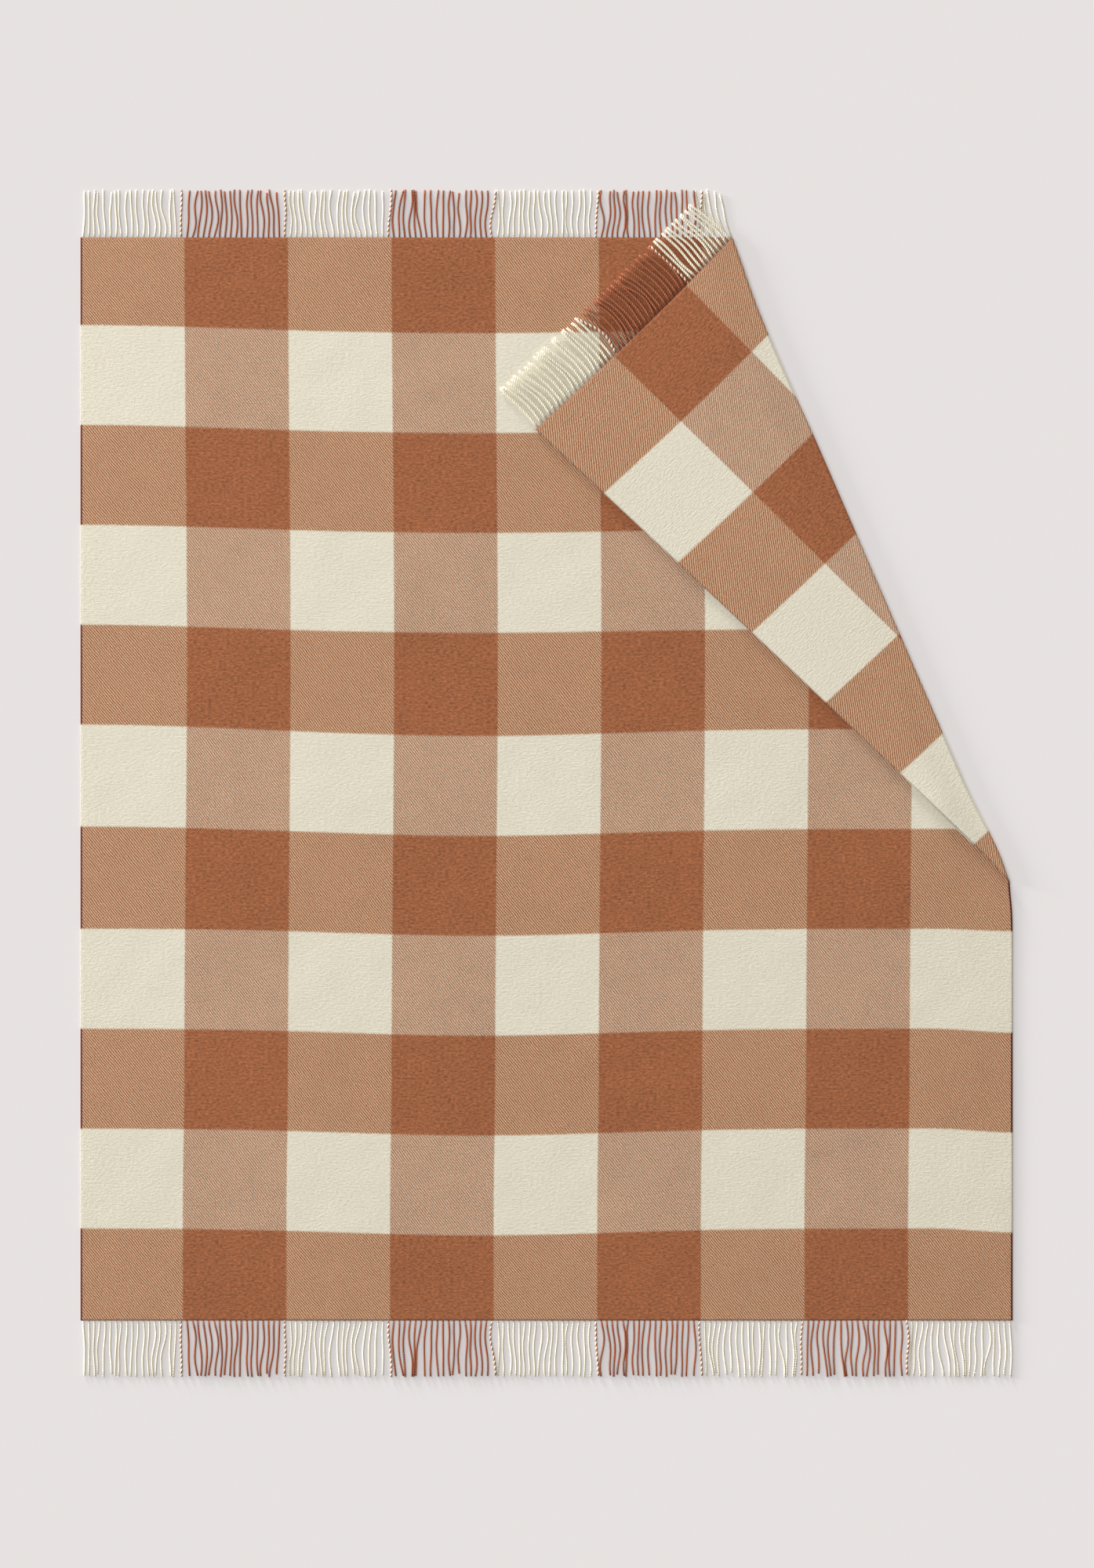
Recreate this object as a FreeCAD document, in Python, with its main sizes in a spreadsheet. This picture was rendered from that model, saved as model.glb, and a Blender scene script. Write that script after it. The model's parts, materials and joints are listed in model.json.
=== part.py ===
import FreeCAD, Part
import os

# A brushed wool throw in a block check, laid flat with one head corner turned over.
#
# Frame: +Z up with the floor at Z = 0, +Y towards the head end, +X to the right.  The origin
# is the middle of the throw's plan, fringe included, on the floor.
#
# The cloth is woven from yarn lots: warp stripes that run from head to foot and weft bands
# that cross them.  Each lot is a flat solid of half the cloth's thickness, the warp under the
# weft, because the weave's own crossings are far smaller than this model.  The head right
# corner turns over about a crease.  Each side of the crease holds a quarter of the roll, and
# the hinge is the crease's outermost line, half way up, so that the corner opens flat.  The
# corner's pieces are cut as they lie when it is open, and then turned over about that line.
# The warp's ends run out past both hems as twisted cords, one group to a stripe.

STRIPE_COUNT = 9        # warp stripes across the cloth, cream first and last
BAND_COUNT = 11         # weft bands from head to foot, rust first and last
CORDS_PER_STRIPE = 19

SIZES = [
    ("cloth_width", 1400.0, "selvedge to selvedge"),
    ("cloth_length", 1627.0, "hem to hem, without the fringe"),
    ("cloth_thick", 3.0, "nap included"),
    ("end_band", 138.5, "first and last weft band, along the warp"),
    ("turn_end", 420.0, "from the corner to the crease, along the head hem"),
    ("turn_side", 968.0, "from the corner to the crease, along the selvedge"),
    ("lay_gap", 0.3, "air between the turned corner and what it lies on"),
    ("head_fringe", 73.0, "from the head hem to the cords' tips"),
    ("foot_fringe", 86.0, "from the foot hem to the cords' tips"),
    ("corner_fringe", 83.0, "from the turned corner's hem to the cords' tips"),
    ("cord_dia", 2.7, "one twisted fringe cord"),
    ("cord_gap", 0.3, "air between a hem and its cords"),
]

LAYOUT = [
    ("stripe_width", "sizes.cloth_width / {stripes}"),
    ("band_length", "(sizes.cloth_length - 2 * sizes.end_band) / ({bands} - 2)"),
    ("cord_pitch", "stripe_width / {cords}"),
    ("left_edge", "-sizes.cloth_width / 2"),
    ("right_edge", "sizes.cloth_width / 2"),
    ("head_edge", "(sizes.cloth_length + sizes.foot_fringe - sizes.head_fringe) / 2"),
    ("foot_edge", "head_edge - sizes.cloth_length"),
    ("crease_x", "right_edge - sizes.turn_end"),
    ("crease_y", "head_edge - sizes.turn_side"),
    ("crease_height", "max(sizes.cloth_thick; sizes.cord_dia) + sizes.lay_gap / 2"),
    ("half_thick", "sizes.cloth_thick / 2"),
    ("blank_length", "2 * (sizes.cloth_width + sizes.cloth_length)"),
]

doc = FreeCAD.newDocument("throw")
sheet = doc.addObject("Spreadsheet::Sheet", "sizes")
layout = doc.addObject("App::VarSet", "layout")
nodes = []              # every finished sub-part, with the solids it has to hold


def fill_sizes():
    """Writes the driving dimensions, then the ones that follow from them."""
    for row, (alias, value, meaning) in enumerate(SIZES, start=1):
        sheet.set(f"A{row}", meaning)
        sheet.set(f"B{row}", str(value))
        sheet.setAlias(f"B{row}", alias)
    doc.recompute()
    counts = {"stripes": STRIPE_COUNT, "bands": BAND_COUNT, "cords": CORDS_PER_STRIPE}
    for name, formula in LAYOUT:
        layout.addProperty("App::PropertyFloat", name)
        layout.setExpression(name, formula.format(**counts))
    layout.addProperty("App::PropertyAngle", "crease_angle")
    layout.setExpression("crease_angle", "atan(sizes.turn_end / sizes.turn_side)")
    doc.recompute()


def place(piece, x, y, z, yaw="0 deg", pitch="0 deg", roll="0 deg"):
    """Binds a piece's placement to formulas."""
    spot = f"create(<<vector>>; {x}; {y}; {z})"
    turn = f"create(<<rotation>>; {yaw}; {pitch}; {roll})"
    piece.setExpression("Placement", f"create(<<placement>>; {spot}; {turn})")


def turn_over(piece):
    """Lays an opened corner piece over, half a turn about the crease's outermost line."""
    double = "2 * layout.crease_angle"
    side, end = "layout.right_edge", "layout.crease_y"
    x = f"{side} * (1 + cos({double})) + {end} * sin({double})"
    y = f"{end} * (1 - cos({double})) + {side} * sin({double})"
    place(piece, x, y, "2 * layout.crease_height", yaw=double, pitch="180 deg")


def box(name, length, width, height):
    piece = doc.addObject("Part::Box", name)
    piece.setExpression("Length", length)
    piece.setExpression("Width", width)
    piece.setExpression("Height", height)
    return piece


def from_crease(across):
    """Formulas of x and y, so far across the crease, at the low end of a blank that spans it."""
    along = "(-layout.blank_length / 2)"
    cosine, sine = "cos(layout.crease_angle)", "sin(layout.crease_angle)"
    x = f"layout.right_edge + ({across}) * {cosine} - {along} * {sine}"
    y = f"layout.crease_y + ({across}) * {sine} + {along} * {cosine}"
    return x, y


def quarter_bar(name, side, radius):
    """A quarter of a round bar along the crease: the outside or the inside of the roll."""
    bar = doc.addObject("Part::Cylinder", name)
    bar.Angle = 90
    bar.setExpression("Radius", radius)
    bar.setExpression("Height", "layout.blank_length")
    x, y = from_crease(f"{side} * layout.crease_height")
    pitch = "90 deg" if side > 0 else "0 deg"
    place(bar, x, y, "layout.crease_height", yaw="layout.crease_angle", pitch=pitch, roll="-90 deg")
    return bar


def layer(name, side, low, high):
    """Half the cloth's thickness on one side of the crease, with its share of the roll.

    side is -1 for the panel and 1 for the opened corner.  low and high are the layer's
    heights in flat cloth, so the roll's radii count down from the crease's height."""
    plate = box(name + "_plate", "layout.blank_length", "layout.blank_length", f"{high} - {low}")
    start = "layout.crease_height" if side > 0 else "-layout.crease_height - layout.blank_length"
    x, y = from_crease(start)
    place(plate, x, y, low, yaw="layout.crease_angle")
    roll = doc.addObject("Part::Cut", name + "_roll")
    roll.Base = quarter_bar(name + "_outer", side, f"layout.crease_height - {low}")
    roll.Tool = quarter_bar(name + "_inner", side, f"layout.crease_height - {high}")
    whole = doc.addObject("Part::Fuse", name + "_layer")
    whole.Base = plate
    whole.Tool = roll
    return whole


def lot(label, source, left, right, foot, head, turned=False):
    """One yarn lot: the part of a layer that lies inside a rectangle of the cloth."""
    frame = box(label + "_cut", f"{right} - {left}", f"{head} - {foot}", "2 * layout.crease_height")
    place(frame, left, foot, "-layout.half_thick")
    piece = doc.addObject("Part::Common", label)
    piece.Label = label
    piece.Base = source
    piece.Tool = frame
    if turned:
        turn_over(piece)
    nodes.append((piece, 1))


def stripe_edge(number):
    """The formula of a warp stripe's left edge; stripes count from 0 at the left."""
    return f"(layout.left_edge + {number} * layout.stripe_width)"


def band_edge(number):
    """The formula of a weft band's head edge; bands count from 0 at the head."""
    if number == 0:
        return "layout.head_edge"
    if number == BAND_COUNT:
        return "layout.foot_edge"
    return f"(layout.head_edge - sizes.end_band - {number - 1} * layout.band_length)"


def warp_colour(stripe):
    return "rust" if stripe % 2 else "cream"


def weft_colour(band):
    return "cream" if band % 2 else "rust"


def first_turned_stripe():
    """The warp stripe that the crease leaves the head hem in."""
    return int((layout.crease_x - layout.left_edge) / layout.stripe_width)


def last_turned_band():
    """The weft band that the crease reaches the selvedge in."""
    below_head = sheet.turn_side - sheet.end_band
    return min(1 + int(below_head / layout.band_length), BAND_COUNT - 1)


def weave_cloth():
    """The panel's yarn lots, and those of the turned corner."""
    flat = {"warp": ("0", "layout.half_thick"), "weft": ("layout.half_thick", "sizes.cloth_thick")}
    panel = {yarn: layer("panel_" + yarn, -1, *flat[yarn]) for yarn in flat}
    corner = {yarn: layer("corner_" + yarn, 1, *flat[yarn]) for yarn in flat}
    for stripe in range(STRIPE_COUNT):
        name = f"warp_stripe_{stripe + 1}_{warp_colour(stripe)}"
        edges = (stripe_edge(stripe), stripe_edge(stripe + 1), "layout.foot_edge", "layout.head_edge")
        lot(name, panel["warp"], *edges)
        if stripe >= first_turned_stripe():
            lot("corner_" + name, corner["warp"], *edges, turned=True)
    for band in range(BAND_COUNT):
        name = f"weft_band_{band + 1}_{weft_colour(band)}"
        edges = ("layout.left_edge", "layout.right_edge", band_edge(band + 1), band_edge(band))
        lot(name, panel["weft"], *edges)
        if band <= last_turned_band():
            lot("corner_" + name, corner["weft"], *edges, turned=True)


def cord(name, number, end, fringe):
    """One fringe cord, lying straight out from its hem; cords count from 0 at the left."""
    piece = doc.addObject("Part::Cylinder", name)
    piece.setExpression("Radius", "sizes.cord_dia / 2")
    piece.setExpression("Height", f"sizes.{fringe}_fringe - sizes.cord_gap")
    way = "+" if end == "head" else "-"
    place(
        piece,
        f"layout.left_edge + {number + 0.5} * layout.cord_pitch",
        f"layout.{end}_edge {way} sizes.cord_gap",
        "sizes.cord_dia / 2",
        roll="-90 deg" if end == "head" else "90 deg",
    )
    return piece


def cord_group(label, numbers, end, turned=False):
    """The cords of one stripe at one end, as separate solids in one node."""
    group = doc.addObject("Part::Compound", label)
    group.Label = label
    fringe = "corner" if turned else end
    group.Links = [cord(f"{label}_cord_{number}", number, end, fringe) for number in numbers]
    if turned:
        turn_over(group)
    nodes.append((group, len(numbers)))


def twist_fringe():
    """Both ends' cords.  Head cords right of the crease belong to the turned corner."""
    kept = round((layout.crease_x - layout.left_edge) / layout.cord_pitch)
    for stripe in range(STRIPE_COUNT):
        tail = f"fringe_{stripe + 1}_{warp_colour(stripe)}"
        cords = range(stripe * CORDS_PER_STRIPE, (stripe + 1) * CORDS_PER_STRIPE)
        cord_group("foot_" + tail, cords, "foot")
        on_panel = [number for number in cords if number < kept]
        on_corner = [number for number in cords if number >= kept]
        if on_panel:
            cord_group("head_" + tail, on_panel, "head")
        if on_corner:
            cord_group("corner_" + tail, on_corner, "head", turned=True)


def check_model():
    """Stops at any failed object, and at any node that isn't the solids it should be."""
    for thing in doc.Objects:
        if "Invalid" in thing.State or "Error" in thing.State:
            raise RuntimeError(f"{thing.Name} did not recompute: {thing.State}")
    for piece, solids in nodes:
        shape = piece.Shape
        if shape.isNull() or not shape.isValid() or len(shape.Solids) != solids:
            raise RuntimeError(f"{piece.Label} is not {solids} sound solids")


def write_parts():
    os.makedirs("parts", exist_ok=True)
    for piece, _ in nodes:
        piece.Shape.exportStep(os.path.join("parts", piece.Label + ".step"))


fill_sizes()
weave_cloth()
twist_fringe()
doc.recompute()
check_model()
write_parts()
print(len(nodes), "nodes,", sum(solids for _, solids in nodes), "solids")
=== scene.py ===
import json
import math
import random

import bmesh
import bpy
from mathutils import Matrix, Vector, noise


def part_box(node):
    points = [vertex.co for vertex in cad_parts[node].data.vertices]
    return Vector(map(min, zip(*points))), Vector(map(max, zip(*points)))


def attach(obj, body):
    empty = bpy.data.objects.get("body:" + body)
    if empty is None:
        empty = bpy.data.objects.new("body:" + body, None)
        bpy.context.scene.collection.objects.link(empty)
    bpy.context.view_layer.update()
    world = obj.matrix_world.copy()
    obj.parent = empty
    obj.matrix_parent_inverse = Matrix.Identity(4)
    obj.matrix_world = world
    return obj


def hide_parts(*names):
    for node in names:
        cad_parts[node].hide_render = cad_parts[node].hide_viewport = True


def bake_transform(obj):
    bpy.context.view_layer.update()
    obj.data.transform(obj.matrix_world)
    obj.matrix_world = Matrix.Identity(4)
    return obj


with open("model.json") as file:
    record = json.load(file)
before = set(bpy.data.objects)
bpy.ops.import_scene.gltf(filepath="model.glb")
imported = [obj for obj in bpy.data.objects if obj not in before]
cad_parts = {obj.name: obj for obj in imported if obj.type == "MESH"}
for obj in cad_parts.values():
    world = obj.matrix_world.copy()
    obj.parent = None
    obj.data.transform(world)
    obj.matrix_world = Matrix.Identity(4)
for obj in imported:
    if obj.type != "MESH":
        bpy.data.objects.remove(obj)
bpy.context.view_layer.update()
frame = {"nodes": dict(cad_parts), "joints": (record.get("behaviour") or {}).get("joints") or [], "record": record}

bl_info = {
    "name": "Checked wool throw",
    "version": (1, 0, 0),
    "blender": (4, 5, 0),
    "location": "3D View > Sidebar > Throw",
    "description": "A brushed wool throw in a block check, laid flat with one corner turned over",
    "category": "Add Mesh",
}

# The frame's own measures, in metres: the cloth's edges, its yarn lots and the fold.
LEFT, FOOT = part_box("weft_band_11_rust")[0].xy
RIGHT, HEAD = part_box("weft_band_11_rust")[1].x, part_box("weft_band_1_rust")[1].y
STRIPES = 9
STRIPE = (RIGHT - LEFT) / STRIPES
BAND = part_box("weft_band_3_rust")[1].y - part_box("weft_band_3_rust")[0].y
FIRST_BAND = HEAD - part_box("weft_band_1_rust")[0].y
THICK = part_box("weft_band_11_rust")[1].z
HEAD_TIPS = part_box("head_fringe_1_cream")[1].y
FOOT_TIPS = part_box("foot_fringe_1_cream")[0].y
CORDS = 19
CORD_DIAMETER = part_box("foot_fringe_1_cream")[1].z
FOLD = next(joint for joint in frame["joints"] if joint["name"] == "corner_fold")
FOLD_AT = Vector(FOLD["pos_m"][:2])
FOLD_HEIGHT = FOLD["pos_m"][2]
ALONG = Vector(FOLD["axis"][:2]).normalized()
ACROSS = Vector((ALONG.y, -ALONG.x))
FOLD_LENGTH = (HEAD - FOLD_AT.y) / ALONG.y

RAKE_RISE = math.sin(math.radians(6.0))     # how steeply the two low lights come down


def clamp(x):
    return min(max(x, 0.0), 1.0)


def ease(x):
    x = clamp(x)
    return x * x * (3 - 2 * x)


def deselect_all():
    for thing in bpy.context.selected_objects:
        thing.select_set(False)


# ---------------------------------------------------------------- the cloth's lie


def fold_inset(t):
    """How far the fold's edge lies inside the straight crease, t along it from the selvedge."""
    sizes = bpy.context.scene.throw_cloth
    body = ease((t - 0.02) / 0.16) * ease((FOLD_LENGTH + 0.03 - t) / 0.15)
    belly = 0.3 * math.exp(-(((t - 0.87) / 0.09) ** 2))
    return sizes.fold_inset * body * (1 + belly)


def corner_skew(s, t):
    """The turned corner's shift in its plane: the cloth pulls off square away from the crease."""
    far = s / 0.385
    return Vector((-11 - 31 * far + 36 * t, 30 - 14 * far + 2 * t)) * far * 0.001


def corner_lift(s, t):
    """How far the turned corner stands off what it lies on."""
    sizes = bpy.context.scene.throw_cloth
    swell = 0.5 + 0.5 * noise.noise(Vector((s * 9, t * 5, 3.7)))
    tail = math.exp(-(((t - 0.11) / 0.07) ** 2))
    return sizes.corner_lift * ease((s - 0.006) / 0.05) * clamp(0.55 * swell + 0.8 * tail)


def band_drift(u, v):
    """How far the weft bows towards the foot, and the warp to the right, as the cloth lies."""
    hems = ease((HEAD - v) / 0.14) * ease((v - FOOT) / 0.12)
    belly = 0.0105 - 0.0050 * ease((v - 0.08) / 0.12)
    sag = belly * math.exp(-(((u + 0.10) / 0.28) ** 2))
    sag -= 0.0068 * (1 - ease((u - LEFT) / 0.40)) * ease((v + 0.25) / 0.35)
    sag += 0.0060 * ease((u - 0.58) / 0.12) * ease((-v - 0.05) / 0.30)
    sides = ease((u - LEFT) / 0.12) * ease((RIGHT - u) / 0.12)
    bulge = 0.0045 * math.exp(-(((v - 0.2) / 0.42) ** 2)) - 0.0018 * ease((-0.45 - v) / 0.2)
    return Vector((bulge * sides, -sag * hems))


def lay(u, v, height, slack=1.0):
    """Where a point of the flat, open cloth lies at rest, and the yarns that pass there.

    height is above the floor in flat cloth, and slack is the share of the corner's lift that
    it takes.  Returns the place and the weave's coordinates: in the roll those are where the
    yarns lie once the corner is open, so that the weave isn't stretched there."""
    spot = Vector((u, v)) - FOLD_AT
    s, t = spot.dot(ACROSS), spot.dot(ALONG)
    inset = fold_inset(t) * ease(1 - (abs(s) - FOLD_HEIGHT) / 0.09)
    skew = Vector((0, 0))
    if abs(s) < FOLD_HEIGHT:
        turn = 0.5 * math.pi * s / FOLD_HEIGHT
        radius = FOLD_HEIGHT - height
        across = radius * math.cos(turn) - FOLD_HEIGHT - inset
        z = FOLD_HEIGHT + radius * math.sin(turn)
        flat = math.copysign(across, s)
    elif s < 0:
        across = flat = s - inset
        z = height
    else:
        flat = s + inset
        across = -flat
        skew = corner_skew(s - FOLD_HEIGHT, t)
        z = 2 * FOLD_HEIGHT - height + slack * corner_lift(s, t)
    place = FOLD_AT + ALONG * t + ACROSS * across + skew
    # The fold's lower end, at the selvedge, draws in a little more.
    place.x -= 0.0042 * math.exp(-(((place - FOLD_AT).length / 0.036) ** 2))
    yarns = FOLD_AT + ALONG * t + ACROSS * flat
    return Vector((place.x, place.y, z)), yarns - band_drift(yarns.x, yarns.y)


def graded(start, end, step):
    """Lines across a flat net, close together at both edges where the cloth rounds off."""
    edge = [0.0, 0.0003, 0.0008, 0.0015, 0.004]
    inner = end - start - 2 * edge[-1]
    count = round(inner / step)
    middle = [start + edge[-1] + inner * i / count for i in range(1, count)]
    return [start + e for e in edge] + middle + [end - e for e in reversed(edge)]


def flat_net(step):
    """The open cloth as a flat net, cut along the crease wherever the fold bends."""
    us, vs = graded(LEFT, RIGHT, step), graded(FOOT, HEAD, step)
    net = bmesh.new()
    rows = [[net.verts.new((u, v, 0)) for u in us] for v in vs]
    for low, high in zip(rows, rows[1:]):
        for i in range(len(us) - 1):
            net.faces.new((low[i], low[i + 1], high[i + 1], high[i]))
    roll = [FOLD_HEIGHT * k / 9 for k in (1, 3, 5, 7, 9)]
    bends = roll + [0.0055, 0.009, 0.016, 0.028, 0.046, 0.07]
    for s in [-b for b in bends] + bends:
        everything = net.verts[:] + net.edges[:] + net.faces[:]
        cut = (FOLD_AT + ACROSS * s).to_3d()
        bmesh.ops.bisect_plane(
            net, geom=everything, dist=1e-5, plane_co=cut, plane_no=ACROSS.to_3d()
        )
    return net


def edge_round(u, v):
    """The cloth's thickness as a share of the whole: it rounds off at its hems and selvedges."""
    edge = min(u - LEFT, RIGHT - u, v - FOOT, HEAD - v)
    inside = clamp(edge / 0.0015)
    return 0.3 + 0.7 * math.sqrt(1 - (1 - inside) ** 2)


def weave_shell(sizes):
    """The cloth's two faces and its edges, laid and folded, with the weave's own coordinates."""
    net = flat_net(sizes.net)
    half = THICK / 2
    shell = bmesh.new()
    yarn_map = shell.loops.layers.uv.new("weave")
    bake_map = shell.loops.layers.uv.new("OFBake")
    reverse = shell.verts.layers.float.new("reverse")
    upper, lower, yarns, flat_map, rolled = {}, {}, {}, {}, set()
    for vert in net.verts:
        u, v = vert.co.xy
        share = edge_round(u, v)
        off_crease = abs((vert.co.xy - FOLD_AT).dot(ACROSS))
        if off_crease < FOLD_HEIGHT + 1e-6:
            rolled.add(vert)
        clear = ease((off_crease - 0.012) / 0.05)
        press = clear * (0.5 + 0.5 * noise.noise(Vector((u * 22, v * 22, 0.3))))
        heights = (half + half * share - sizes.unevenness * press, half - half * share)
        for side, height in zip((upper, lower), heights):
            place, threads = lay(u, v, height)
            side[vert] = shell.verts.new(place)
            yarns[side[vert]] = threads
            flat_map[side[vert]] = ((u - LEFT) / 1.64 + 0.004, (v - FOOT) / 1.64 + 0.004)
        lower[vert][reverse] = 1.0

    def face(corners, smooth=True):
        made = shell.faces.new(corners)
        made.smooth = smooth
        for loop in made.loops:
            loop[yarn_map].uv = yarns[loop.vert]
            loop[bake_map].uv = flat_map[loop.vert]

    for cell in net.faces:
        face([upper[vert] for vert in cell.verts], not rolled.issuperset(cell.verts))
        face([lower[vert] for vert in reversed(cell.verts)])
    for edge in net.edges:
        if len(edge.link_loops) == 1:
            start = edge.link_loops[0].vert
            end = edge.other_vert(start)
            face([lower[start], lower[end], upper[end], upper[start]])
    net.free()
    return shell


# ---------------------------------------------------------------- the fringe's lie


def spread(places, gap):
    """Pushes a row of cords apart until none is nearer to the next than gap."""
    for _ in range(40):
        for i in range(len(places) - 1):
            short = gap - (places[i + 1] - places[i])
            if short > 0:
                places[i] -= short / 2
                places[i + 1] += short / 2
    return places


def cord_lines(starts, length, lean, sway, sizes, seed):
    """Each cord's sideways place at equal steps from its hem.

    Neighbours sway much alike, each wanders a little of its own, and some come to touch."""
    pick = random.Random(seed)
    steps = 9
    lines = []
    for start in starts:
        own = sizes.wander * pick.gauss(0, 1)
        wave = sizes.wave * pick.gauss(0, 1)
        phase = pick.uniform(0, 2 * math.pi)
        line = []
        for k in range(steps + 1):
            out = k / steps
            shared = noise.noise(Vector((start * 24, out * 1.5, seed * 0.37)))
            shared -= noise.noise(Vector((start * 24, 0, seed * 0.37)))
            ripple = math.sin(phase + 6.6 * out) - math.sin(phase)
            bend = sizes.sway * shared + sway * math.sin(math.pi * out)
            line.append(start + lean * length * out + own * out ** 1.5 + bend + wave * ripple)
        lines.append(line)
    for k in range(1, steps + 1):
        row = spread([line[k] for line in lines], CORD_DIAMETER * 1.02)
        for line, x in zip(lines, row):
            line[k] = x
    return lines


def add_cord(mesh, path, sides, section, ply, layers, seed):
    """One cord as a closed tube round its path, narrow at the hem and rounded at its tip.

    section is the cord's width and height as shares of its diameter."""
    uv_layer, ply_layer, crown_layer = layers
    pick = random.Random(seed)
    girth = CORD_DIAMETER / 2 * pick.uniform(1.0, 1.1)
    twist = pick.uniform(0, 1)
    rings, travelled, last = [], 0.0, path[0]
    for k, centre in enumerate(path):
        before, after = path[max(k - 1, 0)], path[min(k + 1, len(path) - 1)]
        way = (after - before).normalized()
        side = way.cross(Vector((0, 0, 1))).normalized()
        rise = side.cross(way)
        travelled += (centre - last).length
        last = centre
        reach = girth * (0.8 if k == 0 else 0.62 if k == len(path) - 1 else 1.0)
        ring = []
        for j in range(sides):
            angle = 2 * math.pi * j / sides
            offset = side * math.cos(angle) * section[0] + rise * math.sin(angle) * section[1]
            vert = mesh.verts.new(centre + offset * reach)
            vert[ply_layer] = ply
            # crown is 1 at the cord's top and underside and 0 at its sides; it places the rust cords' painted
            # highlight and shade.
            vert[crown_layer] = abs(math.sin(angle))
            ring.append(vert)
        rings.append((ring, travelled))
    for (near, y0), (far, y1) in zip(rings, rings[1:]):
        for j in range(sides):
            nxt = (j + 1) % sides
            face = mesh.faces.new((near[j], near[nxt], far[nxt], far[j]))
            face.smooth = True
            corners = ((j, y0), (j + 1, y0), (j + 1, y1), (j, y1))
            for loop, (x, y) in zip(face.loops, corners):
                loop[uv_layer].uv = (x / sides + twist, y)
    for ring, y in (rings[0], rings[-1]):
        order = ring if ring is rings[-1][0] else list(reversed(ring))
        cap = mesh.faces.new(order)
        cap.smooth = True
        for loop in cap.loops:
            loop[uv_layer].uv = (twist, y)


def fringe_piece(name, numbers, end, lean, seed):
    """The cords of one stripe at one end, as one piece."""
    sizes = bpy.context.scene.throw_fringe
    hem, tips = (FOOT, FOOT_TIPS) if end == "foot" else (HEAD, HEAD_TIPS)
    way = -1 if end == "foot" else 1
    length = sizes.corner_length if end == "corner" else abs(tips - hem)
    sway = -0.0030 if end == "corner" else 0.0
    pitch = STRIPE / CORDS
    starts = [LEFT + (number + 0.5) * pitch for number in numbers]
    lines = cord_lines(starts, length, lean, sway, sizes, seed)
    pick = random.Random(seed + 1)
    mesh = bmesh.new()
    uv_layer = mesh.loops.layers.uv.new("cord")
    ply_layer = mesh.verts.layers.float.new("rust_ply")
    crown_layer = mesh.verts.layers.float.new("crown")
    for number, line in zip(numbers, lines):
        stripe = number // CORDS
        ply = float(stripe % 2)
        if number % CORDS == CORDS - 1 and stripe < STRIPES - 1:
            ply = 0.5
        section = (1.3 if end == "corner" else 1.0, 1.0 if ply else 0.75)
        reach = length - 0.0016 - abs(pick.gauss(0, 0.0020))
        path = []
        for k, x in enumerate(line):
            out = k / (len(line) - 1)
            y = hem + way * (reach * out - 0.0010 * (1 - out))
            if end == "corner":
                height = CORD_DIAMETER / 2 * section[1] + 0.0003 * ease(out * 3)
                path.append(lay(x, y, height, 1 - ease(out * 1.6))[0])
            else:
                path.append(Vector((x, y, CORD_DIAMETER / 2 * section[1] + 0.00002)))
        path.append(path[-1] + (path[-1] - path[-2]).normalized() * 0.0006)
        layers = (uv_layer, ply_layer, crown_layer)
        add_cord(mesh, path, sizes.sides, section, ply, layers, seed * 500 + number)
    return finish_mesh(name, mesh)


def finish_mesh(name, mesh):
    """Puts a finished bmesh into the scene as an object at the origin."""
    data = bpy.data.meshes.new(name)
    mesh.to_mesh(data)
    mesh.free()
    piece = bpy.data.objects.new(name, data)
    bpy.context.scene.collection.objects.link(piece)
    return piece


# ---------------------------------------------------------------- finishes


class Wire:
    """A shader socket; arithmetic on it adds Math nodes to its finish."""

    def __init__(self, finish, socket):
        self.finish = finish
        self.socket = socket

    def maths(self, operation, *values):
        settings = {"operation": operation}
        inputs = dict(enumerate(values))
        return self.finish.add("ShaderNodeMath", settings, inputs)

    def __add__(self, other):
        return self.maths("ADD", self, other)

    __radd__ = __add__

    def __sub__(self, other):
        return self.maths("SUBTRACT", self, other)

    def __rsub__(self, other):
        return self.maths("SUBTRACT", other, self)

    def __mul__(self, other):
        return self.maths("MULTIPLY", self, other)

    __rmul__ = __mul__

    def __truediv__(self, other):
        return self.maths("DIVIDE", self, other)

    def __rtruediv__(self, other):
        return self.maths("DIVIDE", other, self)

    def sine(self):
        return self.maths("SINE", self)

    def least(self, other):
        return self.maths("MINIMUM", self, other)

    def most(self, other):
        return self.maths("MAXIMUM", self, other)

    def ramp(self, low, high):
        """0 at low and 1 at high, eased between them."""
        settings = {"interpolation_type": "SMOOTHSTEP"}
        values = {"Value": self, "From Min": low, "From Max": high}
        return self.finish.add("ShaderNodeMapRange", settings, values)


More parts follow.
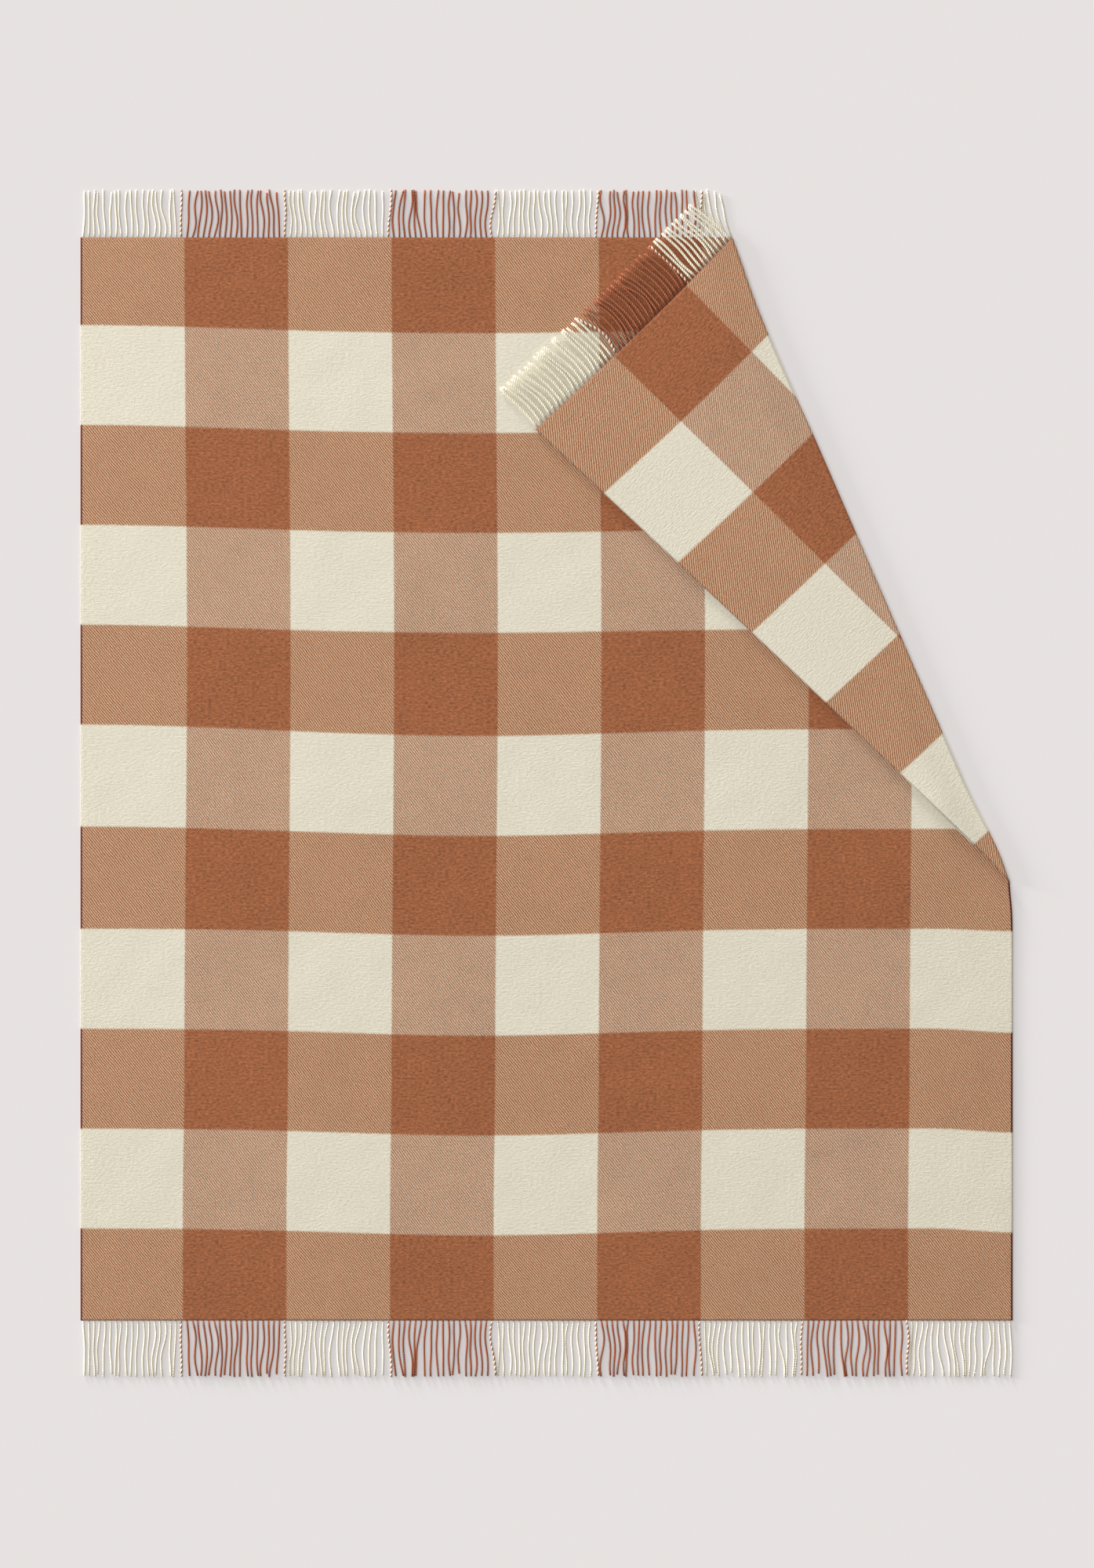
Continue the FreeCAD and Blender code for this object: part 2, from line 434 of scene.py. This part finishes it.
class Finish:
    """A material built up node by node."""

    def __init__(self, name):
        self.material = bpy.data.materials.new(name)
        self.material.use_nodes = True
        self.tree = self.material.node_tree
        self.shader = self.tree.nodes["Principled BSDF"]

    def add(self, kind, settings=None, inputs=None, output=0):
        """Adds a node, sets it up, fills its sockets, and returns one of its outputs."""
        node = self.tree.nodes.new(kind)
        for name, value in (settings or {}).items():
            setattr(node, name, value)
        for key, value in (inputs or {}).items():
            self.fill(node.inputs[key], value)
        return Wire(self, node.outputs[output])

    def fill(self, socket, value):
        if isinstance(value, Wire):
            self.tree.links.new(value.socket, socket)
        else:
            socket.default_value = value

    def set(self, **values):
        """Fills the shader's own sockets; underscores stand for spaces."""
        for name, value in values.items():
            self.fill(self.shader.inputs[name.replace("_", " ")], value)

    def split(self, vector):
        """A vector's x and y."""
        node = self.tree.nodes.new("ShaderNodeSeparateXYZ")
        self.fill(node.inputs[0], vector)
        return Wire(self, node.outputs[0]), Wire(self, node.outputs[1])

    def stretched(self, vector, x, y, z=1.0):
        settings = {"operation": "MULTIPLY"}
        return self.add("ShaderNodeVectorMath", settings, {0: vector, 1: (x, y, z)})

    def noise(self, vector, scale, detail=2.0, rough=0.5):
        values = {"Vector": vector, "Scale": scale, "Detail": detail, "Roughness": rough}
        return self.add("ShaderNodeTexNoise", None, values)

    def mix(self, share, low, high, blend="MIX"):
        settings = {"data_type": "RGBA", "blend_type": blend}
        return self.add("ShaderNodeMix", settings, {0: share, 6: low, 7: high}, 2)

    def dim(self, colour, tone):
        settings = {"operation": "SCALE"}
        return self.add("ShaderNodeVectorMath", settings, {0: colour, "Scale": tone})

    def relief(self, height, depth, strength=1.0):
        values = {"Height": height, "Distance": depth, "Strength": strength}
        return self.add("ShaderNodeBump", None, values)


def rgba(colour):
    return (*colour, 1.0)


def check_finish(colours, cloth):
    """The brushed twill check: yarn colours crossed, napped over, felted at the hems."""
    wool = Finish("brushed_wool_check")
    weave = wool.add("ShaderNodeUVMap", {"uv_map": "weave"})
    u, v = wool.split(weave)
    fuzz = wool.noise(weave, 900, 2, 0.6) - 0.5
    shift = wool.noise(weave, 260, 1) - 0.5
    mottle = wool.noise(wool.stretched(weave, 0.55, 1), 330, 3, 0.62) - 0.5
    cloud = wool.noise(weave, 42, 2) - 0.5
    broad = wool.noise(weave, 6, 2) - 0.5
    slub_warp = wool.noise(wool.stretched(weave, 1, 0.03), 820, 1) - 0.5
    slub_weft = wool.noise(wool.stretched(weave, 0.03, 1), 700, 1) - 0.5

    inner = u.least(RIGHT - 0.005).most(LEFT + 0.005)
    stripes = (inner + fuzz * 0.0034 + shift * 0.0016 - LEFT) * (math.pi / STRIPE)
    bands = (HEAD + BAND - FIRST_BAND - v + fuzz * 0.0050 + shift * 0.0020) * (math.pi / BAND)
    warp_rust = (0.5 - stripes.sine() * 18).ramp(0.0, 1.0)
    weft_rust = (0.5 + bands.sine() * 13).ramp(0.0, 1.0)

    # The twill's lines, at this weave's warp and weft pitch, broken up by the nap.
    end_pitch, pick_pitch = cloth.warp_pitch * 4, cloth.weft_pitch * 4
    turn = u * (2 * math.pi / end_pitch) + v * (2 * math.pi / pick_pitch)
    line = (turn + fuzz * 2.6 + shift * 2.6 + cloud * 5.0).sine()
    hem = (HEAD - v + fuzz * 0.003).least(v - FOOT + fuzz * 0.003)
    felted = hem.ramp(0.0035, 0.0015)
    shown = (1 - felted) * (1.0 + mottle * 1.4)
    tan = weft_rust * (1 - warp_rust)
    pink = warp_rust * (1 - weft_rust)
    tan_share = 0.79 - line * shown * 0.30 + mottle * 0.90 + fuzz * 0.45
    pink_share = 0.67 - line * shown * 0.24 + mottle * 1.00 + fuzz * 1.10
    share = warp_rust * weft_rust + tan * tan_share + pink * pink_share

    colour = wool.mix(share, rgba(colours.cream), rgba(colours.rust))
    warmth = wool.mix(tan + pink * 0.5, (1, 1, 1, 1), (1.04, 0.97, 0.83, 1))
    colour = wool.mix(1.0, colour, warmth, "MULTIPLY")

    # The nap's shade takes more on rust than on cream.
    side = (u - LEFT).least(RIGHT - u) + fuzz * 0.0008
    side_shade = side.ramp(0.0022, 0.0006)
    nap = mottle * 1.45 + cloud * 0.12 + broad * 0.14 + fuzz * 0.60
    slub = slub_warp * 0.10 + slub_weft * 0.14
    mixed = tan + pink
    grip = 0.22 + share * 0.80 + warp_rust * weft_rust * 0.35 + pink * 0.50
    tone = 1.0 + (nap + slub) * grip
    tone = (tone + line * shown * mixed * 0.17) * (1 - side_shade * 0.45)

    # Hems, and the rust bands' selvedges, end in a tight dark line of turned-back weft.
    reverse = wool.add("ShaderNodeAttribute", {"attribute_name": "reverse"}, None, 2)
    selvedge = side.ramp(0.0036, 0.0022) * weft_rust * (1 - reverse)
    rim = hem.ramp(0.0016, 0.0006)
    line_share = selvedge.most(rim * 0.7)
    colour = wool.mix(line_share, wool.dim(colour, tone), rgba(colours.edge))

    height = line * shown * mixed * 0.06 + mottle * 0.8 + fuzz * 0.35 + slub_weft * 0.15
    wool.set(
        Base_Color=colour,
        Roughness=0.9 + mottle * 0.12,
        Normal=wool.relief(height, cloth.nap_depth),
        Sheen_Weight=0.25,
        Sheen_Roughness=0.55,
        Sheen_Tint=(0.98, 0.93, 0.86, 1.0),
        Specular_IOR_Level=0.18,
    )
    return wool.material


def cord_finish(colours):
    """Two-ply twisted yarn, each ply cream or rust."""
    yarn = Finish("twisted_wool_cord")
    wrap = yarn.add("ShaderNodeUVMap", {"uv_map": "cord"})
    around, out = yarn.split(wrap)
    rust_ply = yarn.add("ShaderNodeAttribute", {"attribute_name": "rust_ply"}, None, 2)
    crown = yarn.add("ShaderNodeAttribute", {"attribute_name": "crown"}, None, 2)
    place = yarn.add("ShaderNodeTexCoord", None, None, 3)
    fibre = yarn.noise(place, 900, 2, 0.6)
    slow = yarn.noise(place, 60, 1)
    turn = around * (2 * math.pi) + out * (2 * math.pi / 0.0075) + (fibre - 0.5) * 0.9
    wave = turn.sine()
    groove = (turn * 2 + 1.2).sine()
    ply = wave.ramp(-0.25, 0.25)
    share = (rust_ply * 2 - ply).ramp(0.0, 1.0)
    colour = yarn.mix(share, rgba(colours.cream_cord), rgba(colours.rust_cord))
    tone = 0.98 + groove * 0.07 + (fibre - 0.5) * 0.22 + (slow - 0.5) * 0.2
    # Painted highlight and shade on the rust plies: each cord is lighter along its top and underside and darker
    # along its sides, as light falls on a round cord.
    tone = tone * (1 - share * 0.42 + share * crown * 0.72)
    yarn.set(
        Base_Color=yarn.dim(colour, tone),
        Roughness=0.88 + (fibre - 0.5) * 0.12,
        Normal=yarn.relief(groove * 0.5 + fibre * 0.5, 0.0005),
        Sheen_Weight=0.06,
        Sheen_Roughness=0.5,
        Specular_IOR_Level=0.2,
    )
    return yarn.material


def floor_finish(stage):
    """A plain pale floor, toned so that it looks even under the key light."""
    floor = Finish("pale_floor")
    place = floor.add("ShaderNodeTexCoord", None, None, 3)
    lamp = Vector(stage.key_place)
    pair = {0: place, 1: lamp}
    reach = floor.add("ShaderNodeVectorMath", {"operation": "DISTANCE"}, pair, 1)
    ahead = floor.add("ShaderNodeVectorMath", {"operation": "DOT_PRODUCT"}, pair, 1)
    key = (lamp.length_squared - ahead) / (reach * reach * reach * reach)
    key = key * (stage.key * lamp.z / lamp.length / math.pi ** 2)
    light = key + stage.sky + 2 * stage.rake * RAKE_RISE / math.pi
    grain = floor.noise(place, 3, 2) - 0.5
    tone = (stage.floor_tone / light).least(1.3) + grain * 0.008
    lit = Vector(stage.floor_colour) * (1 - stage.floor_glow)
    floor.set(
        Base_Color=floor.dim(tuple(lit), tone),
        Emission_Color=rgba(stage.floor_colour),
        Emission_Strength=stage.floor_glow,
        Roughness=0.9,
        Specular_IOR_Level=0.08,
    )
    return floor.material


# ---------------------------------------------------------------- settings


class ThrowColours(bpy.types.PropertyGroup):
    cream: bpy.props.FloatVectorProperty(
        name="Cream wool",
        description="The undyed yarn, as woven and brushed",
        subtype="COLOR",
        default=(0.80, 0.745, 0.60),
        min=0,
        max=1,
    )
    rust: bpy.props.FloatVectorProperty(
        name="Rust wool",
        description="The rust yarn, as woven and brushed",
        subtype="COLOR",
        default=(0.358, 0.121, 0.046),
        min=0,
        max=1,
    )
    edge: bpy.props.FloatVectorProperty(
        name="Edge yarn",
        description="The tight line along hems and rust selvedges",
        subtype="COLOR",
        default=(0.110, 0.015, 0.009),
        min=0,
        max=1,
    )
    cream_cord: bpy.props.FloatVectorProperty(
        name="Cream cord",
        description="Fringe cords of the cream stripes",
        subtype="COLOR",
        default=(0.85, 0.79, 0.625),
        min=0,
        max=1,
    )
    rust_cord: bpy.props.FloatVectorProperty(
        name="Rust cord",
        description="Fringe cords of the rust stripes",
        subtype="COLOR",
        default=(0.33, 0.098, 0.044),
        min=0,
        max=1,
    )


class ThrowCloth(bpy.types.PropertyGroup):
    net: bpy.props.FloatProperty(
        name="Net step",
        description="Distance between the cloth's mesh lines",
        default=0.0105,
        min=0.004,
        unit="LENGTH",
    )
    unevenness: bpy.props.FloatProperty(
        name="Unevenness",
        description="How far the nap is pressed down in places",
        default=0.0005,
        min=0,
        unit="LENGTH",
    )
    fold_inset: bpy.props.FloatProperty(
        name="Fold inset",
        description="How far the fold's edge draws in along the crease",
        default=0.0072,
        min=0,
        unit="LENGTH",
    )
    corner_lift: bpy.props.FloatProperty(
        name="Corner lift",
        description="How far the turned corner stands off the cloth below at most",
        default=0.0022,
        min=0,
        unit="LENGTH",
    )
    warp_pitch: bpy.props.FloatProperty(
        name="Warp pitch",
        description="Distance from one warp yarn to the next",
        default=0.001015,
        min=0.0003,
        unit="LENGTH",
    )
    weft_pitch: bpy.props.FloatProperty(
        name="Weft pitch",
        description="Distance from one weft yarn to the next",
        default=0.00126,
        min=0.0003,
        unit="LENGTH",
    )
    nap_depth: bpy.props.FloatProperty(
        name="Nap depth",
        description="Height of the brushed nap's relief",
        default=0.0006,
        min=0,
        unit="LENGTH",
    )


class ThrowFringe(bpy.types.PropertyGroup):
    sides: bpy.props.IntProperty(
        name="Sides", description="Sides of each cord's tube", default=6, min=3, max=12
    )
    corner_length: bpy.props.FloatProperty(
        name="Corner cords",
        description="Length of the turned corner's cords, hem to tips",
        default=0.083,
        min=0.01,
        unit="LENGTH",
    )
    sway: bpy.props.FloatProperty(
        name="Sway",
        description="How far neighbouring cords curve together",
        default=0.0060,
        min=0,
        unit="LENGTH",
    )
    wander: bpy.props.FloatProperty(
        name="Wander",
        description="How far a cord's tip strays on its own",
        default=0.0024,
        min=0,
        unit="LENGTH",
    )
    wave: bpy.props.FloatProperty(
        name="Wave",
        description="How far a cord ripples from side to side along its length",
        default=0.0009,
        min=0,
        unit="LENGTH",
    )


class ThrowStage(bpy.types.PropertyGroup):
    floor_colour: bpy.props.FloatVectorProperty(
        name="Floor",
        description="The plain floor's colour",
        subtype="COLOR",
        default=(0.80, 0.768, 0.76),
        min=0,
        max=1,
    )
    floor_tone: bpy.props.FloatProperty(
        name="Floor tone", description="The floor's evenness level under the lights", default=1.0
    )
    floor_glow: bpy.props.FloatProperty(
        name="Floor glow",
        description="The share of the floor's light that comes through it, as in a light tent",
        default=0.36,
        min=0,
        max=1,
    )
    sky: bpy.props.FloatProperty(
        name="Sky", description="Strength of the even light from all round", default=0.42, min=0
    )
    key: bpy.props.FloatProperty(
        name="Key", description="Power of the soft key light", default=140, min=0, unit="POWER"
    )
    key_place: bpy.props.FloatVectorProperty(
        name="Key place",
        description="Where the key light hangs",
        subtype="TRANSLATION",
        default=(-4.2, 2.6, 4.2),
    )
    rake: bpy.props.FloatProperty(
        name="Rake", description="Strength of each low light that shows the nap", default=4.2, min=0
    )


# ---------------------------------------------------------------- operators


class THROW_OT_cloth(bpy.types.Operator):
    """Weave the cloth, lay it on the floor and turn its corner over"""

    bl_idname = "throw.cloth"
    bl_label = "Cloth"

    def execute(self, context):
        deselect_all()
        sizes = context.scene.throw_cloth
        cloth = finish_mesh("checked_cloth", weave_shell(sizes))
        if len(cloth.data.polygons) < 1000:
            raise RuntimeError("the cloth came out without its net")
        cloth.data.materials.append(check_finish(context.scene.throw_colours, sizes))
        lots = [name for name in frame["nodes"] if "fringe" not in name]
        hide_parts(*lots)
        level = FOLD_AT.to_3d()
        low, high = level.copy(), level.copy()
        low.z, high.z = FOLD_HEIGHT - 1.2e-6, FOLD_HEIGHT + 1.2e-6
        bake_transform(cloth)
        return {"FINISHED"}


class THROW_OT_fringe(bpy.types.Operator):
    """Twist the fringe cords of every stripe at both ends, and of the turned corner"""

    bl_idname = "throw.fringe"
    bl_label = "Fringe"

    def execute(self, context):
        deselect_all()
        finish = cord_finish(context.scene.throw_colours)
        crease_x = FOLD_AT.x + ALONG.x * FOLD_LENGTH
        kept = round((crease_x - LEFT) / (STRIPE / CORDS))
        made = []
        for stripe in range(STRIPES):
            numbers = range(stripe * CORDS, (stripe + 1) * CORDS)
            made.append(self.add(stripe, numbers, "foot"))
            panel = [number for number in numbers if number < kept]
            if panel:
                made.append(self.add(stripe, panel, "head"))
            corner = [number for number in numbers if number >= kept]
            if corner:
                made.append(self.add(stripe, corner, "corner"))
        for piece in made:
            piece.data.materials.append(finish)
        return {"FINISHED"}

    def add(self, stripe, numbers, end):
        """Makes one stripe's cords; those whose CAD node rides on a body other than the head or foot fringe are
        put on that body.
        """
        colour = "rust" if stripe % 2 else "cream"
        node = f"{end}_fringe_{stripe + 1}_{colour}"
        lean = -0.24 if end == "head" and stripe == 6 else 0.0
        seed = 11 * stripe + len(end)
        piece = fringe_piece(f"{end}_cords_{stripe + 1}", list(numbers), end, lean, seed)
        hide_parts(node)
        bodies = frame["record"]["behaviour"]["bodies"]
        body = next(name for name, nodes in bodies.items() if node in nodes)
        if body in ("head_fringe", "foot_fringe"):
            hem, way = (HEAD, 1) if end == "head" else (FOOT, -1)
            hem + way * 0.008
            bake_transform(piece)
        else:
            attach(piece, body)
        return piece


class THROW_OT_stage(bpy.types.Operator):
    """Lay the floor, hang the lights and set the camera straight above"""

    bl_idname = "throw.stage"
    bl_label = "Stage"

    def execute(self, context):
        deselect_all()
        stage = context.scene.throw_stage
        bpy.ops.mesh.primitive_plane_add(size=60, location=(0, 0, 0))
        floor = context.object
        floor.name = "floor"
        floor.data.materials.append(floor_finish(stage))

        world = bpy.data.worlds.new("soft_sky")
        context.scene.world = world
        world.use_nodes = True
        sky = world.node_tree.nodes["Background"]
        sky.inputs["Color"].default_value = (1.0, 0.99, 0.985, 1)
        sky.inputs["Strength"].default_value = stage.sky

        self.lamp("AREA", "key", stage.key_place, stage.key, size=2.2)
        for name, way in (("rake_side", (-1, 0.35)), ("rake_head", (-0.45, 1))):
            rake = Vector(way).normalized().to_3d()
            rake.z = RAKE_RISE
            self.lamp("SUN", name, rake * 3, stage.rake, angle=math.radians(9))

        camera = bpy.data.cameras.new("camera")
        camera.sensor_width = 36
        camera.lens = 85
        camera.clip_end = 100
        eye = bpy.data.objects.new("camera", camera)
        context.scene.collection.objects.link(eye)
        tall = 2.356
        eye.location = (0.0006, -0.0011, tall * camera.lens / camera.sensor_width)
        context.scene.camera = eye
        context.scene.view_settings.view_transform = "Standard"
        return {"FINISHED"}

    def lamp(self, kind, name, place, strength, size=None, angle=None):
        """Hangs one lamp, aimed at the middle of the throw."""
        light = bpy.data.lights.new(name, kind)
        light.energy = strength
        if size:
            light.shape = "DISK"
            light.size = size
        if angle:
            light.angle = angle
        holder = bpy.data.objects.new(name, light)
        bpy.context.scene.collection.objects.link(holder)
        holder.location = place
        holder.rotation_euler = (-Vector(place)).to_track_quat("-Z", "Y").to_euler()


class THROW_PT_panel(bpy.types.Panel):
    """The throw's pieces and settings"""

    bl_label = "Checked throw"
    bl_idname = "THROW_PT_panel"
    bl_space_type = "VIEW_3D"
    bl_region_type = "UI"
    bl_category = "Throw"

    def draw(self, context):
        scene = context.scene
        for operator in OPERATORS:
            self.layout.operator(operator.bl_idname)
        for group in (scene.throw_colours, scene.throw_cloth, scene.throw_fringe, scene.throw_stage):
            column = self.layout.column()
            for name in group.__annotations__:
                column.prop(group, name)


OPERATORS = (THROW_OT_cloth, THROW_OT_fringe, THROW_OT_stage)
GROUPS = {
    "throw_colours": ThrowColours,
    "throw_cloth": ThrowCloth,
    "throw_fringe": ThrowFringe,
    "throw_stage": ThrowStage,
}


def register():
    for kind in (*GROUPS.values(), *OPERATORS, THROW_PT_panel):
        bpy.utils.register_class(kind)
    for name, group in GROUPS.items():
        setattr(bpy.types.Scene, name, bpy.props.PointerProperty(type=group))


def unregister():
    for name in GROUPS:
        delattr(bpy.types.Scene, name)
    for kind in (THROW_PT_panel, *OPERATORS, *GROUPS.values()):
        bpy.utils.unregister_class(kind)


def main():
    register()
    bpy.ops.throw.cloth()
    bpy.ops.throw.fringe()
    bpy.ops.throw.stage()


if __name__ == "__main__":
    main()
